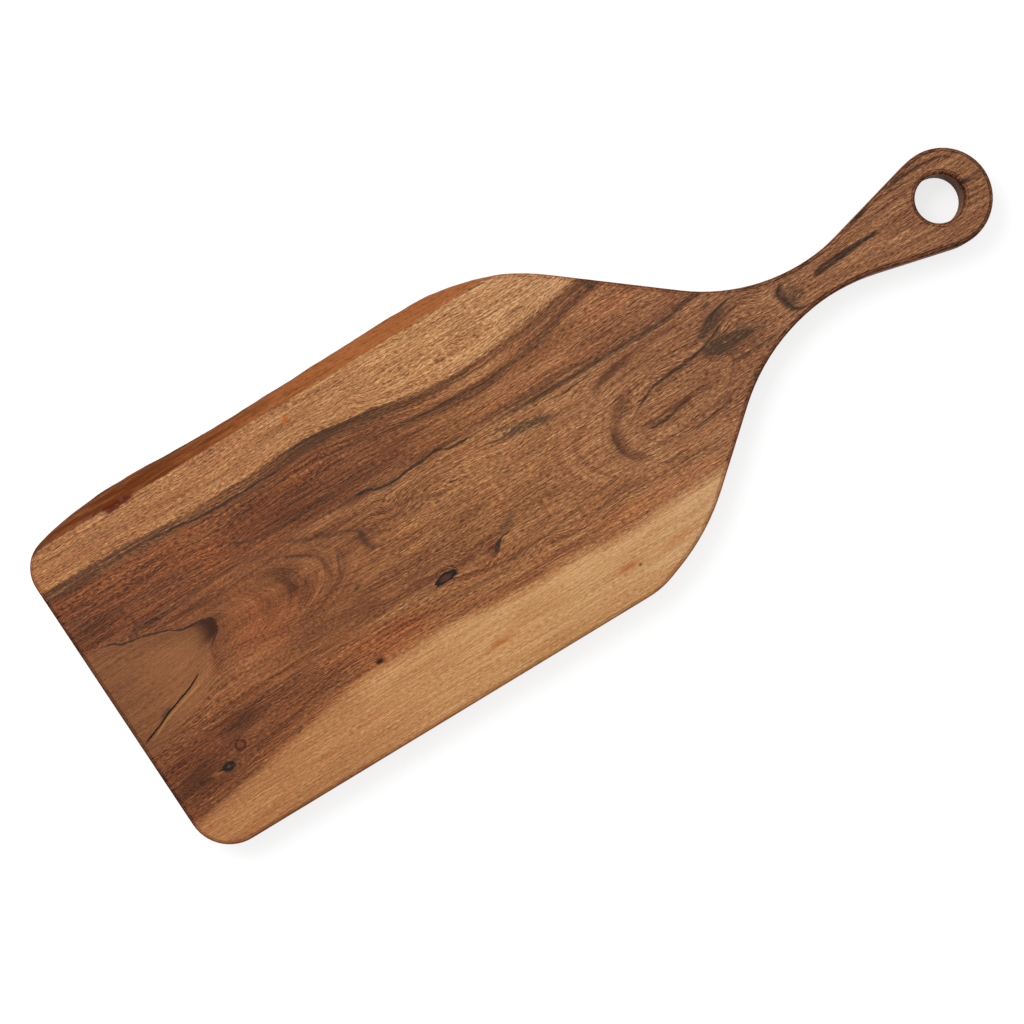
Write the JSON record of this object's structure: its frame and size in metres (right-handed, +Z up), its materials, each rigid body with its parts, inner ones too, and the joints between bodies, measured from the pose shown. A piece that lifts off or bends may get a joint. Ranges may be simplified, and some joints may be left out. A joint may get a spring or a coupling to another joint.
{
  "type": "paddle serving board",
  "caption": "Flat acacia serving board with a waisted paddle handle, a ring with a hang hole, one sawn edge and one natural edge, glued up from staves.",
  "frame": {"origin": "under the middle of the board, on the surface that it rests on", "axes": "+X from the blunt end to the ring, along the grain and the glue lines; +Y across the board to the natural edge; +Z up through the serving face"},
  "size_m": [0.53, 0.1941, 0.018],
  "materials": {
    "upper_wood": "satin",
    "handle_wood": "satin",
    "lower_wood": "satin",
    "glue": "satin"
  },
  "bodies": {
    "root": {"lower_stave": "lower_wood", "lower_glue_line": "glue", "handle_stave": "handle_wood", "upper_glue_line": "glue", "upper_stave": "upper_wood"}
  },
  "joints": []
}
